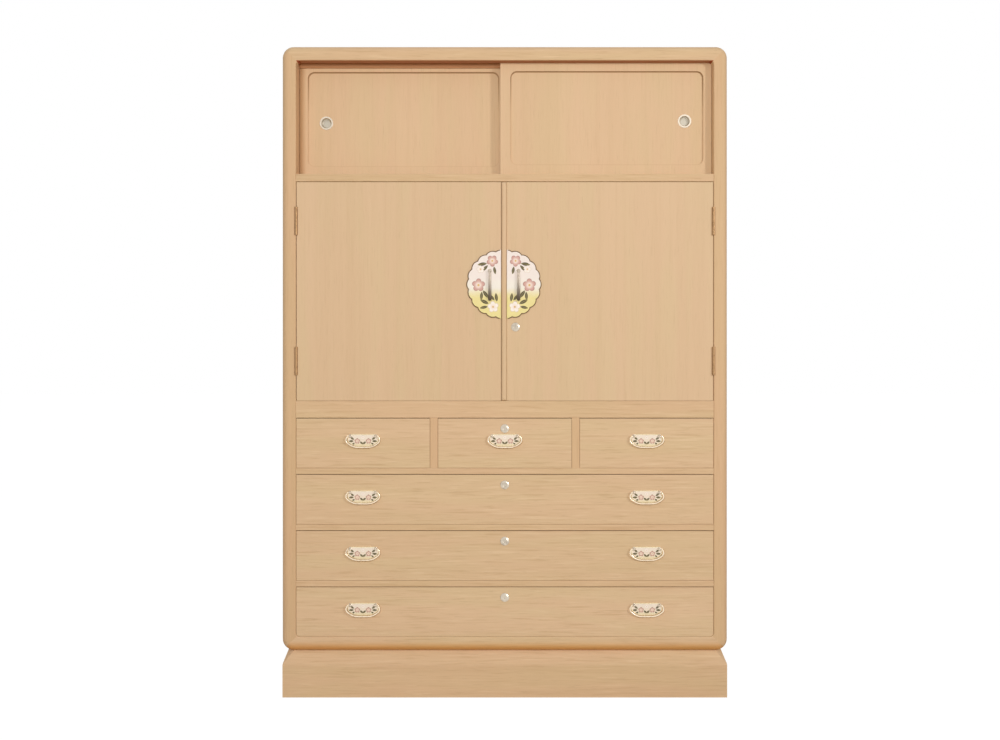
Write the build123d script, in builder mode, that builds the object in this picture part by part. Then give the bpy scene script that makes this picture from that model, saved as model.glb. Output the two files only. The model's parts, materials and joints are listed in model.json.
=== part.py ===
from build123d import *
import os

# Isho clothing chest: a paulownia case on a plinth, with two sliding doors above, two hinged doors over
# kimono trays in the middle, and a row of three small drawers over three wide ones below.
# X runs across the front, the front faces -Y, Z is up, and the floor is at Z = 0. Sizes are in millimetres.

# Overall
case_width = 1068.0
case_depth = 444.0
total_height = 1560.0
pull_reach = 9.5  # from the case's front to the foremost point of the door pulls

# Plinth
plinth_height = 111.0
plinth_face_height = 80.0
plinth_setback = 2.0  # of its upright faces, from the case's front and sides
plinth_front_lean = 15.0  # the bevel above the upright face leans in by this much at its top
plinth_side_lean = 10.0
plinth_softness = 22.0  # radius of the edge between the face and the bevel
plinth_corner_cut = 16.0  # the facet on each front corner, at the top of the bevel
plinth_board = 34.0
plinth_arris = 1.0

# Case
side_thickness = 34.5
top_thickness = 36.0
bottom_thickness = 34.0
outline_radius = 27.0
nose_radius = 17.0
arris_radius = 3.0
opening_radius = 10.0
opening_radius_depth = 21.0
back_thickness = 7.0
back_rebate = 8.0
rail_depth = 1.0  # rails stand this far behind the case's front
rail_arris = 1.2
housing = 6.0  # shelves are let this far into the sides
housing_stop = 14.0
tongue_lap = 1.0

# Heights of the openings and of the rails between them, from the bottom up
drawer_opening = 120.2
drawer_rail = 14.4
drawer_rows = 4
sill_height = 40.5
sill_depth = 30.0
middle_board = 15.0
door_opening = 525.0
door_stop = 4.0
door_stop_depth = 12.0
door_stop_gap = 0.8
upper_shelf_thickness = 18.2
partition_thickness = 18.4
shelf_tongue = 14.4

# Hinged doors
face_depth = 1.5  # door and drawer faces stand this far behind the case's front
door_thickness = 20.0
door_gap = 1.0
door_top_gap = 1.0
door_foot_gap = 0.3
face_arris = 1.2
bead_width = 13.0
bead_proud = 3.5
bead_gap = 0.75
bead_radius = 6.2
bead_x = -1.7

# Butt hinges
hinge_height = 67.0
hinge_centres = (805.2, 1139.9)
hinge_leaf_thickness = 1.5
hinge_leaf_depth = 17.0
hinge_proud = 2.0  # pin centre in front of the door's face
barrel_radius = 3.5
barrel_clearance = 0.3
pin_radius = 1.5
pin_clearance = 0.05
knuckle_gap = 0.4

# Scalloped plate and drop pulls on the hinged doors
plate_centre_z = 988.5
plate_reach = 83.0  # from the middle of each half's straight edge
scallop_count = 20  # on the whole round
scallop_radius = 20.0
plate_thickness = 2.4
plate_rim = 0.8
pull_x = 34.3  # from the middle of the bead
pull_pivot_z = 1020.5
pull_length = 71.5
pull_pivot_out = 7.4  # pivots stand this far in front of the door's face
pull_post_radius = 3.6
pull_tongue = 3.0
pull_slot = 3.5
pull_pin_radius = 1.0
pull_neck = 2.6
pull_foot_width = 8.4
pull_thickness = 4.6
pull_rounding = 1.5
pull_shoulder = 5.0  # from the pivot down to the top of the bar
pull_eye_radius = 2.8
pull_tongue_depth = 3.6
pull_tongue_lap = 2.0  # the tongue runs this far down into the bar
pull_post_base = 1.0
pull_pin_length = 6.2

# Locks
lock_flange_radius = 10.8
lock_flange_height = 3.2
lock_dome = ((1.0, 0.3), (0.86, 0.7), (0.62, 1.0))  # its section, in shares of the flange's radius and height
lock_sleeve_radius = 7.5
lock_plug_radius = 4.5
lock_plug_clearance = 0.08
key_slot_width = 1.6
key_slot_height = 6.4
key_slot_depth = 3.0
cam_thickness = 2.5
cam_width = 9.0
cam_gap = 0.5
drawer_lock_drop = 25.5  # below the top of the drawer's opening
drawer_cam_reach = 32.5
cam_pocket_height = 9.5
cam_pocket_depth = 7.0
cam_pocket_side = 8.0
door_lock_x = 25.6
door_lock_z = 886.4
door_cam_reach = 48.0

# Sliding doors and their tracks
track_setback = 22.0
track_groove = 16.0
track_ridge = 5.5
track_base = 4.0
track_rebate = 15.0
track_ridge_drop = 6.5
lower_groove_depth = 3.0
slider_thickness = 15.0
slider_overlap = 22.0
slider_side_gap = 0.5
slider_foot_gap = 0.4
slider_top_z = 1530.0
slider_stile = 24.5
slider_outer_stile = 20.5
field_low_z = 1278.0
field_high_z = 1504.5
rear_field_lift = 4.0  # the rear door's field reaches higher, so that both doors show the same margin
field_radius = 16.0
field_depth = 4.0
cup_x = 434.5
cup_z = 1385.0
cup_flange_radius = 17.0
cup_flange_height = 1.2
cup_wall_radius = 13.0
cup_dish_radius = 11.6
cup_depth = 8.0
cup_floor = 1.0
cup_lip = 1.0  # the slope on both edges of the flange
cup_cove = (0.8, 0.75)  # the foot of the dish's wall, in shares of its radius and depth

# Drawers
drawer_side_gap = 0.45
drawer_top_gap = 1.35
drawer_foot_gap = 0.25
drawer_depth = 405.0
drawer_front_thickness = 20.0
drawer_wall = 11.0
drawer_bottom = 7.0
drawer_bottom_rebate = 10.0
drawer_corner_radius = 9.6

# Drawer handles, from the centre of each plate
handle_x = 339.1
handle_rise = 7.0  # above the middle of the drawer's opening
handle_plate_corners = ((-31.8, 14.2), (-41.3, -0.8), (-21.8, -15.5))
handle_plate_radii = (4.0, 11.0, 36.0)
handle_pivot_z = 9.8
handle_pivot_out = 5.6
handle_post_x = 30.3
handle_post_radius = 2.8
handle_collar_radius = 4.2
handle_collar_height = 1.0
post_rounding = 0.95  # of the post's own radius
shank_radius = 1.6
nut_radius = 4.4
nut_height = 2.6
bail_corners = ((-35.8, 9.8), (-43.8, -1.4), (-23.2, -17.0))
bail_radii = (10.0, 38.0)
bail_wire_radius = 1.7
bail_ball_radius = 2.3
pintle_radius = 1.1
pintle_clearance = 0.06
pintle_end_x = 27.0

# Kimono trays
tray_count = 5
tray_pitch = 103.0
tray_height = 80.0
tray_front_height = 66.0
tray_setback = 46.0
tray_depth = 384.0
tray_side_gap = 2.0
tray_front_thickness = 12.0
tray_wall = 9.0
tray_floor = 5.0
tray_scoop_width = 150.0
tray_scoop_depth = 22.0
runner_width = 12.0
runner_height = 10.0
runner_lift = 2.5
runner_gap = 0.4

# Places that follow from the driving dimensions
case_front = pull_reach - (case_depth + pull_reach) / 2
case_back = case_front + case_depth
case_bottom = plinth_height
case_middle_z = (case_bottom + total_height) / 2
half_width = case_width / 2
inner_half = half_width - side_thickness
inner_width = 2 * inner_half
floor_z = case_bottom + bottom_thickness
ceiling_z = total_height - top_thickness
shelf_front = case_front + rail_depth
shelf_back = case_back - back_thickness
row_pitch = drawer_opening + drawer_rail
row_floors = [floor_z + row_pitch * i for i in range(drawer_rows)]
sill_z = row_floors[-1] + drawer_opening
door_floor_z = sill_z + sill_height
door_ceiling_z = door_floor_z + door_opening
upper_floor_z = door_ceiling_z + upper_shelf_thickness
middle_board_z = door_floor_z - middle_board
small_opening = (inner_width - 2 * partition_thickness) / 3
partition_x = (small_opening + partition_thickness) / 2
face_y = case_front + face_depth
door_back_y = face_y + door_thickness
pin_y = face_y - hinge_proud
groove_setbacks = (track_setback, track_setback + track_groove + track_ridge)
track_end = groove_setbacks[1] + track_groove + track_ridge
track_top_z = ceiling_z + track_rebate
slider_low_z = upper_floor_z - lower_groove_depth + slider_foot_gap
rounded_back_y = case_front + opening_radius_depth
opening_middle_z = (floor_z + ceiling_z) / 2
plinth_half = half_width - plinth_setback
plinth_front_y = case_front + plinth_setback
plinth_inner_x = plinth_half - plinth_board
plinth_inner_y = plinth_front_y + plinth_board
sill_back_y = shelf_front + sill_depth
stop_y = door_back_y + door_stop_gap
pin_x = inner_half - door_gap / 2
door_outer_x = inner_half - door_gap
door_inner_x = {-1: bead_x - bead_width / 2 - bead_gap, 1: bead_x + bead_width / 2}
door_low_z = door_floor_z + door_foot_gap
door_high_z = door_ceiling_z - door_top_gap
pull_pivot_y = face_y - pull_pivot_out
handle_pivot_y = face_y - handle_pivot_out

os.makedirs("parts", exist_ok=True)


def face_plane(y):
    """A plane across the chest at depth y: its x is X, its y is Z, and it extrudes towards the front."""
    return Plane.XZ.offset(-y)


def block(low, high, mode=Mode.ADD):
    """Adds or cuts a rectangular block between two opposite corners, in the open builder."""
    middle = tuple((a + b) / 2 for a, b in zip(low, high))
    size = [abs(b - a) for a, b in zip(low, high)]
    with Locations(middle):
        Box(*size, mode=mode)


def rod(x, z, y_from, y_to, radius, mode=Mode.ADD):
    """Adds or cuts a round rod that runs along the depth, in the open builder."""
    with Locations(Location((x, (y_from + y_to) / 2, z), (90, 0, 0))):
        Cylinder(radius, abs(y_to - y_from), mode=mode)


def cross_rod(x, y, z, radius, length, mode=Mode.ADD):
    """Adds or cuts a round rod that runs across the chest, in the open builder."""
    with Locations(Location((x, y, z), (0, 90, 0))):
        Cylinder(radius, length, mode=mode)


def board(low, high):
    """A plain rectangular board between two opposite corners."""
    with BuildPart() as plain:
        block(low, high)
    return plain.part


def board_within(envelope, low, high):
    """A rectangular board between two opposite corners, cut to the outline of an envelope."""
    with BuildPart() as cut_board:
        block(low, high)
        add(envelope, mode=Mode.INTERSECT)
    return cut_board.part


def prism(plane, corners, amount):
    """A straight-sided block on an outline."""
    with BuildPart() as straight:
        with BuildSketch(plane):
            with BuildLine():
                Polyline(*corners, close=True)
            make_face()
        extrude(amount=amount)
    return straight.part


def turned(x, y, z, profile):
    """A turned piece on an axis along the depth. Its profile is in radius and in distance in front of y."""
    with BuildPart() as piece:
        with BuildSketch(Plane((x, y, z), x_dir=(1, 0, 0), z_dir=(0, 0, 1))):
            with BuildLine():
                Polyline(*[(radius, -out) for radius, out in profile], close=True)
            make_face()
        revolve(axis=Axis((x, y, z), (0, 1, 0)))
    return piece.part


def save(piece, name):
    piece.label = name
    export_step(piece, f"parts/{name}.step")


def save_group(pieces, name):
    """Separate solids that share one name, such as identical pieces or the boards of one drawer."""
    save(Compound(children=[Compound(piece.wrapped) for piece in pieces]), name)


# Case: one moulded ring with a rounded nose, mitred at its corners into four boards
with BuildPart() as case_ring:
    with BuildSketch(face_plane(case_back)):
        with Locations((0, case_middle_z)):
            RectangleRounded(case_width, total_height - case_bottom, outline_radius)
    extrude(amount=case_depth)
    fillet(case_ring.faces().sort_by(Axis.Y)[0].outer_wire().edges(), nose_radius)
    block((-inner_half, rounded_back_y, floor_z), (inner_half, case_back, ceiling_z), Mode.SUBTRACT)
    with BuildSketch(face_plane(rounded_back_y)):
        with Locations((0, opening_middle_z)):
            RectangleRounded(inner_width, ceiling_z - floor_z, opening_radius)
    extrude(amount=opening_radius_depth, mode=Mode.SUBTRACT)
    fillet(case_ring.faces().sort_by(Axis.Y)[0].inner_wires()[0].edges(), arris_radius)
    block(
        (-inner_half - back_rebate, shelf_back, floor_z - back_rebate),
        (inner_half + back_rebate, case_back, ceiling_z + back_rebate),
        Mode.SUBTRACT,
    )


def mitre_wedge(outer_from, outer_to, inner_to, inner_from):
    """The part of the case between two of its mitres, from its outer edge into its opening."""
    return prism(face_plane(case_back), [outer_from, outer_to, inner_to, inner_from], case_depth)


outer_corners = {
    (side, end): (side * half_width, case_bottom if end < 0 else total_height)
    for side in (-1, 1)
    for end in (-1, 1)
}
# each mitre runs on past the opening's corner, so that the boards keep the corner's rounding
mitre_end_x = inner_half - opening_radius
mitre_end_z = {
    -1: floor_z + opening_radius * bottom_thickness / side_thickness,
    1: ceiling_z - opening_radius * top_thickness / side_thickness,
}


def wedge_between(first, second):
    """first and second are corners of the case, each given as its side and its end."""
    ends = [(side * mitre_end_x, mitre_end_z[end]) for side, end in (second, first)]
    return mitre_wedge(outer_corners[first], outer_corners[second], *ends)


top_wedge = wedge_between((-1, 1), (1, 1))
with BuildPart() as top_board:
    add(case_ring.part)
    add(top_wedge, mode=Mode.INTERSECT)
    block(
        (-inner_half, case_front + track_setback, ceiling_z),
        (inner_half, case_front + track_end, track_top_z),
        Mode.SUBTRACT,
    )
save(top_board.part, "top_board")

bottom_wedge = wedge_between((-1, -1), (1, -1))
with BuildPart() as bottom_board:
    add(case_ring.part)
    add(bottom_wedge, mode=Mode.INTERSECT)
save(bottom_board.part, "bottom_board")


def tongue(side, z, height, mode, lap=0.0):
    """The end of a shelf that is let into the case's side, in the open builder."""
    block(
        (side * (inner_half - lap), shelf_front + housing_stop, z),
        (side * (inner_half + housing), shelf_back, z + height),
        mode,
    )


def cut_hinge_recess(pin_x, wood_x, leaf_x, z):
    """Cuts the wood away for one hinge leaf and for the barrel beside it, in the open builder."""
    foot = z - hinge_height / 2
    block((wood_x, pin_y, foot), (leaf_x, pin_y + hinge_leaf_depth, foot + hinge_height), Mode.SUBTRACT)
    with Locations(Location((pin_x, pin_y, z), (0, 0, -90))):
        Cylinder(
            barrel_radius + 2 * barrel_clearance,
            hinge_height + 2 * barrel_clearance,
            mode=Mode.SUBTRACT,
        )


tongues = [(z - drawer_rail, drawer_rail) for z in row_floors[1:]]
tongues += [(middle_board_z, shelf_tongue), (door_ceiling_z, shelf_tongue)]
side_wedge = wedge_between((-1, -1), (-1, 1))
with BuildPart() as left_side:
    add(case_ring.part)
    add(side_wedge, mode=Mode.INTERSECT)
    for z, height in tongues:
        tongue(-1, z, height, Mode.SUBTRACT)
    for z in hinge_centres:
        cut_hinge_recess(-pin_x, -inner_half, -inner_half - hinge_leaf_thickness, z)
save(left_side.part, "left_side")

with BuildPart() as right_side:
    mirror(left_side.part, about=Plane.YZ)
save(right_side.part, "right_side")

back_panel = board(
    (-inner_half - back_rebate, shelf_back, floor_z - back_rebate),
    (inner_half + back_rebate, case_back, ceiling_z + back_rebate),
)
save(back_panel, "back_panel")


# Plinth: upright faces, a bevel that leans in on three sides, a facet on each front corner
with BuildPart() as plinth_ring:
    with BuildSketch(Plane.YZ) as side_view:
        with BuildLine():
            Polyline(
                (plinth_front_y, 0),
                (plinth_front_y, plinth_face_height),
                (plinth_front_y + plinth_front_lean, plinth_height),
                (case_back, plinth_height),
                (case_back, 0),
                close=True,
            )
        make_face()
        fillet(side_view.vertices().group_by(Axis.Y)[1], plinth_softness)
    extrude(amount=plinth_half, both=True)
    with BuildSketch(face_plane(case_back)) as front_view:
        with BuildLine():
            Polyline(
                (-plinth_half, 0),
                (-plinth_half, plinth_face_height),
                (-plinth_half + plinth_side_lean, plinth_height),
                (plinth_half - plinth_side_lean, plinth_height),
                (plinth_half, plinth_face_height),
                (plinth_half, 0),
                close=True,
            )
        make_face()
        fillet(front_view.vertices().group_by(Axis.Y)[1], plinth_softness)
    extrude(amount=case_depth, mode=Mode.INTERSECT)
    facet_run = plinth_front_lean + plinth_side_lean + plinth_corner_cut - plinth_arris
    facet_slope = facet_run / (plinth_height - plinth_face_height)
    for side in (-1, 1):
        facet = Plane(
            (side * plinth_half, plinth_front_y + plinth_arris, plinth_face_height),
            x_dir=(side, 1, 0),
            z_dir=(side, -1, facet_slope),
        )
        split(bisect_by=facet, keep=Keep.BOTTOM)
    block(
        (-plinth_inner_x, plinth_inner_y, 0),
        (plinth_inner_x, case_back - plinth_board, plinth_height),
        Mode.SUBTRACT,
    )


def plinth_piece(corners):
    """One board of the plinth: what the ring has inside this outline of the plan."""
    wedge = prism(Plane.XY, corners, plinth_height)
    with BuildPart() as piece:
        add(plinth_ring.part)
        add(wedge, mode=Mode.INTERSECT)
    return piece.part


plinth_front = plinth_piece(
    [
        (-plinth_half, plinth_front_y),
        (plinth_half, plinth_front_y),
        (plinth_inner_x, plinth_inner_y),
        (-plinth_inner_x, plinth_inner_y),
    ]
)
save(plinth_front, "plinth_front")

plinth_sides = [
    plinth_piece(
        [
            (side * plinth_half, plinth_front_y),
            (side * plinth_half, case_back),
            (side * plinth_inner_x, case_back),
            (side * plinth_inner_x, plinth_inner_y),
        ]
    )
    for side in (-1, 1)
]
save_group(plinth_sides, "plinth_sides")

plinth_back = board(
    (-plinth_inner_x, case_back - plinth_board, 0), (plinth_inner_x, case_back, plinth_height)
)
save(plinth_back, "plinth_back")


# Shelves, with a tongue on each end, and a mortise in the front rail for the lock cam below it
def shelf(sections, tongue_z, tongue_height, lock_pocket=True):
    """sections are (front, low, back, high) in the view from the side."""
    with BuildPart() as shelf_board:
        for front, low, back, high in sections:
            block((-inner_half, front, low), (inner_half, back, high))
        rail_face = shelf_board.faces().sort_by(Axis.Y)[0]
        fillet(rail_face.edges().filter_by(Axis.X), rail_arris)
        for side in (-1, 1):
            tongue(side, tongue_z, tongue_height, Mode.ADD, tongue_lap)
        if lock_pocket:
            pocket_y = face_y + drawer_front_thickness - cam_gap
            low = min(section[1] for section in sections)
            block(
                (-cam_pocket_side, pocket_y, low),
                (drawer_cam_reach, pocket_y + cam_pocket_depth, low + cam_pocket_height),
                Mode.SUBTRACT,
            )
    return shelf_board.part


drawer_shelves = [
    shelf([(shelf_front, z - drawer_rail, shelf_back, z)], z - drawer_rail, drawer_rail)
    for z in row_floors[1:]
]
save_group(drawer_shelves, "drawer_shelves")

# The sill and the shelf above the doors are stepped behind them, as a stop
middle_shelf = shelf(
    [
        (shelf_front, sill_z, sill_back_y, door_floor_z),
        (stop_y, middle_board_z, shelf_back, door_floor_z + door_stop),
    ],
    middle_board_z,
    shelf_tongue,
)
save(middle_shelf, "middle_shelf")

plain_upper_shelf = shelf(
    [
        (shelf_front, door_ceiling_z, shelf_back, upper_floor_z),
        (stop_y, door_ceiling_z - door_stop, stop_y + door_stop_depth, upper_floor_z),
    ],
    door_ceiling_z,
    shelf_tongue,
    lock_pocket=False,
)
with BuildPart() as upper_shelf:
    add(plain_upper_shelf)
    for setback in groove_setbacks:
        block(
            (-inner_half, case_front + setback, upper_floor_z - lower_groove_depth),
            (inner_half, case_front + setback + track_groove, upper_floor_z),
            Mode.SUBTRACT,
        )
save(upper_shelf.part, "upper_shelf")

with BuildPart() as upper_track:
    block(
        (-inner_half, case_front + track_setback, track_top_z - track_base),
        (inner_half, case_front + track_end, track_top_z),
    )
    for setback in groove_setbacks:
        ridge_y = case_front + setback + track_groove
        block(
            (-inner_half, ridge_y, ceiling_z - track_ridge_drop),
            (inner_half, ridge_y + track_ridge, track_top_z),
        )
save(upper_track.part, "upper_track")

partitions = []
for side in (-1, 1):
    with BuildPart() as partition:
        with BuildSketch(Plane.YZ.offset(side * partition_x)):
            with BuildLine():
                Polyline(
                    (shelf_front, row_floors[-1]),
                    (shelf_back, row_floors[-1]),
                    (shelf_back, middle_board_z),
                    (sill_back_y, middle_board_z),
                    (sill_back_y, sill_z),
                    (shelf_front, sill_z),
                    close=True,
                )
            make_face()
        extrude(amount=partition_thickness / 2, both=True)
        fillet(partition.faces().sort_by(Axis.Y)[0].edges().filter_by(Axis.Z), rail_arris)
    partitions.append(partition.part)
save_group(partitions, "drawer_partitions")


# Butt hinges: the case's leaf has the two outer knuckles and the pin, the door's leaf has the middle one
def hinge_leaf(side, towards, z, knuckles, bore_radius):
    """towards is +1 where the leaf's wood lies at greater X than the pin. knuckles are (low, high) spans."""
    foot = z - hinge_height / 2
    centre_x = side * pin_x
    leaf_x = centre_x + towards * (door_gap + hinge_leaf_thickness) / 2
    web_width = door_gap / 2 + hinge_leaf_thickness
    web_depth = barrel_radius + 2 * barrel_clearance
    with BuildPart() as leaf:
        with BuildSketch(Plane.XY.offset(foot)):
            with Locations((leaf_x, pin_y + hinge_leaf_depth / 2)):
                Rectangle(hinge_leaf_thickness, hinge_leaf_depth)
            with Locations((centre_x, pin_y)):
                Circle(barrel_radius + barrel_clearance, mode=Mode.SUBTRACT)
        extrude(amount=hinge_height)
        for low, high in knuckles:
            with BuildSketch(Plane.XY.offset(foot + low)):
                with Locations((centre_x, pin_y)):
                    Circle(barrel_radius)
                with Locations((centre_x + towards * web_width / 2, pin_y + web_depth / 2)):
                    Rectangle(web_width, web_depth)
                with Locations((centre_x, pin_y)):
                    Circle(bore_radius, mode=Mode.SUBTRACT)
            extrude(amount=high - low)
    return leaf.part


def hinge_pin(side, z):
    with BuildPart() as pin:
        with Locations((side * pin_x, pin_y, z)):
            Cylinder(pin_radius, hinge_height)
    return pin.part


third = hinge_height / 3
outer_knuckles = ((0, third - knuckle_gap), (2 * third + knuckle_gap, hinge_height))
middle_knuckle = ((third, 2 * third),)
case_leaves = []
for side, name in ((-1, "left_door_hinge_leaves"), (1, "right_door_hinge_leaves")):
    door_leaves = []
    for z in hinge_centres:
        case_leaves.append(hinge_leaf(side, side, z, outer_knuckles, pin_radius))
        case_leaves.append(hinge_pin(side, z))
        door_leaves.append(hinge_leaf(side, -side, z, middle_knuckle, pin_radius + pin_clearance))
    save_group(door_leaves, name)
save_group(case_leaves, "case_hinge_leaves")

# Hinged doors, and the half-round bead on the right one's edge that covers their meeting
for side, name in ((-1, "left_door"), (1, "right_door")):
    inner_x = door_inner_x[side]
    outer_x = side * door_outer_x
    with BuildPart() as door:
        with BuildSketch(face_plane(door_back_y)):
            with Locations(((inner_x + outer_x) / 2, (door_low_z + door_high_z) / 2)):
                Rectangle(abs(outer_x - inner_x), door_high_z - door_low_z)
        extrude(amount=door_thickness)
        fillet(door.faces().sort_by(Axis.Y)[0].edges(), face_arris)
        for z in hinge_centres:
            leaf_x = side * (door_outer_x - hinge_leaf_thickness)
            cut_hinge_recess(side * pin_x, outer_x, leaf_x, z)
        rod(bead_x + side * pull_x, pull_pivot_z, face_y, door_back_y, shank_radius, Mode.SUBTRACT)
        if side > 0:
            rod(door_lock_x, door_lock_z, face_y, door_back_y, lock_sleeve_radius, Mode.SUBTRACT)
    save(door.part, name)

with BuildPart() as meeting_bead:
    with BuildSketch(face_plane(door_back_y)):
        with Locations((bead_x, (door_low_z + door_high_z) / 2)):
            Rectangle(bead_width, door_high_z - door_low_z)
    extrude(amount=door_thickness + bead_proud)
    nose = meeting_bead.faces().sort_by(Axis.Y)[0]
    fillet(nose.edges(), bead_radius)
save(meeting_bead.part, "meeting_bead")

# Scalloped plate in two halves, one on each door, and the forked studs of the drop pulls
def half_plate(side, edge_x):
    """Half of a scalloped round, whose straight edge stands at edge_x."""
    plate_y = face_y - plate_thickness
    with BuildPart() as half:
        with BuildSketch(face_plane(face_y)):
            with Locations((edge_x, plate_centre_z)):
                Circle(plate_reach - scallop_radius / 2)
                with PolarLocations(plate_reach - scallop_radius, scallop_count):
                    Circle(scallop_radius)
            with Locations((edge_x - side * plate_reach, plate_centre_z)):
                Rectangle(2 * plate_reach, 2 * plate_reach + scallop_radius, mode=Mode.SUBTRACT)
        extrude(amount=plate_thickness)
        chamfer(half.faces().sort_by(Axis.Y)[0].edges(), plate_rim)
        rod(bead_x + side * pull_x, pull_pivot_z, plate_y, face_y, shank_radius, Mode.SUBTRACT)
    return half.part


def pull_post(x):
    """A forked stud: a shank and nut through the door, and two cheeks that hold the pin of the drop pull."""
    plate_y = face_y - plate_thickness
    with BuildPart() as post:
        rod(x, pull_pivot_z, pull_pivot_y - pull_post_radius, plate_y, pull_post_radius)
        fillet(post.edges().group_by(Axis.Y)[0], post_rounding * pull_post_radius)
        block(
            (x - pull_slot / 2, pull_pivot_y - pull_post_radius, pull_pivot_z - pull_post_radius),
            (x + pull_slot / 2, plate_y - pull_post_base, pull_pivot_z + pull_post_radius),
            Mode.SUBTRACT,
        )
        rod(x, pull_pivot_z, plate_y, door_back_y, shank_radius)
        rod(x, pull_pivot_z, door_back_y, door_back_y + nut_height, nut_radius)
        cross_rod(x, pull_pivot_y, pull_pivot_z, pull_pin_radius, pull_pin_length)
    return post.part


def drop_pull(x):
    """A tapered bar, rounded at the front and at its foot, that hangs from the tongue at its top."""
    shoulder_z = pull_pivot_z - pull_shoulder
    foot_half = pull_foot_width / 2
    foot_z = pull_pivot_z - pull_length + foot_half
    with BuildPart() as pull:
        with BuildSketch(face_plane(pull_pivot_y + pull_thickness / 2)):
            with BuildLine():
                Polyline(
                    (x - foot_half, foot_z),
                    (x - pull_neck, shoulder_z),
                    (x + pull_neck, shoulder_z),
                    (x + foot_half, foot_z),
                )
                ThreePointArc((x + foot_half, foot_z), (x, foot_z - foot_half), (x - foot_half, foot_z))
            make_face()
        extrude(amount=pull_thickness)
        fillet(pull.faces().sort_by(Axis.Y)[0].edges(), pull_rounding)
        with BuildSketch(Plane.YZ.offset(x)):
            with Locations((pull_pivot_y, pull_pivot_z)):
                Circle(pull_eye_radius)
            with Locations((pull_pivot_y, (pull_pivot_z + shoulder_z - pull_tongue_lap) / 2)):
                Rectangle(pull_tongue_depth, pull_shoulder + pull_tongue_lap)
            with Locations((pull_pivot_y, pull_pivot_z)):
                Circle(pull_pin_radius + pintle_clearance, mode=Mode.SUBTRACT)
        extrude(amount=pull_tongue / 2, both=True)
    return pull.part


for side, name in ((-1, "left_door"), (1, "right_door")):
    stud_x = bead_x + side * pull_x
    save_group([half_plate(side, door_inner_x[side]), pull_post(stud_x)], f"{name}_plate")
    save(drop_pull(stud_x), f"{name}_pull")


# Locks: a domed flange and sleeve in the wood, and a plug with the cam that the key turns
def lock_case(x, z):
    bore_radius = lock_plug_radius + lock_plug_clearance
    profile = [
        (bore_radius, -door_thickness),
        (lock_sleeve_radius, -door_thickness),
        (lock_sleeve_radius, 0),
        (lock_flange_radius, 0),
        *[(out * lock_flange_radius, up * lock_flange_height) for out, up in lock_dome],
        (bore_radius, lock_flange_height),
    ]
    return turned(x, face_y, z, profile)


def lock_plug(x, z, cam_angle, cam_reach):
    """cam_angle is where the cam points in the front view, from +X towards +Z."""
    front_y = face_y - lock_flange_height
    cam_y = door_back_y + cam_gap
    with BuildPart() as plug:
        rod(x, z, front_y, cam_y + cam_thickness, lock_plug_radius)
        with BuildSketch(face_plane(cam_y + cam_thickness)):
            with Locations(Location((x, z), cam_angle)):
                with Locations(((cam_reach - cam_width / 2) / 2, 0)):
                    SlotOverall(cam_reach + cam_width / 2, cam_width)
        extrude(amount=cam_thickness)
        block(
            (x - key_slot_width / 2, front_y, z - key_slot_height / 2),
            (x + key_slot_width / 2, front_y + key_slot_depth, z + key_slot_height / 2),
            Mode.SUBTRACT,
        )
    return plug.part


save(lock_case(door_lock_x, door_lock_z), "door_lock_case")
save(lock_plug(door_lock_x, door_lock_z, -90, door_cam_reach), "door_lock_plug")

# Sliding doors: the right one runs in the front groove, the left one in the rear groove
slider_outer_x = inner_half - slider_side_gap
slider_inner_x = -slider_overlap / 2
field_outer_x = inner_half - slider_outer_stile
field_inner_x = slider_inner_x + slider_stile
cup_profile = [
    (0, -cup_depth - cup_floor),
    (cup_wall_radius, -cup_depth - cup_floor),
    (cup_wall_radius, 0),
    (cup_flange_radius, 0),
    (cup_flange_radius - cup_lip, cup_flange_height),
    (cup_dish_radius + cup_lip, cup_flange_height),
    (cup_dish_radius, 0),
    (cup_dish_radius, -cup_cove[1] * cup_depth),
    (cup_cove[0] * cup_dish_radius, -cup_depth),
    (0, -cup_depth),
]
for side, name, setback, lift in (
    (-1, "left", groove_setbacks[1], rear_field_lift),
    (1, "right", groove_setbacks[0], 0),
):
    slider_face_y = case_front + setback + (track_groove - slider_thickness) / 2
    field_y = slider_face_y + field_depth
    field_top_z = field_high_z + lift
    with BuildPart() as slider:
        with BuildSketch(face_plane(slider_face_y + slider_thickness)):
            with Locations((side * (slider_outer_x + slider_inner_x) / 2, (slider_low_z + slider_top_z) / 2)):
                Rectangle(slider_outer_x - slider_inner_x, slider_top_z - slider_low_z)
        extrude(amount=slider_thickness)
        fillet(slider.faces().sort_by(Axis.Y)[0].edges().filter_by(Axis.Z), face_arris)
        with BuildSketch(face_plane(field_y)):
            with Locations((side * (field_outer_x + field_inner_x) / 2, (field_low_z + field_top_z) / 2)):
                RectangleRounded(field_outer_x - field_inner_x, field_top_z - field_low_z, field_radius)
        extrude(amount=field_depth, mode=Mode.SUBTRACT)
        rod(side * cup_x, cup_z, field_y, field_y + cup_depth + cup_floor, cup_wall_radius, Mode.SUBTRACT)
    save(slider.part, f"{name}_sliding_door")
    save(turned(side * cup_x, field_y, cup_z, cup_profile), f"{name}_finger_cup")


# Drawer handles
def mirrored(corners, x, z):
    """The left half of an outline and then its mirror image, placed at x and z."""
    left = [(x + u, z + v) for u, v in corners]
    right = [(x - u, z + v) for u, v in reversed(corners)]
    return left + right


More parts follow.
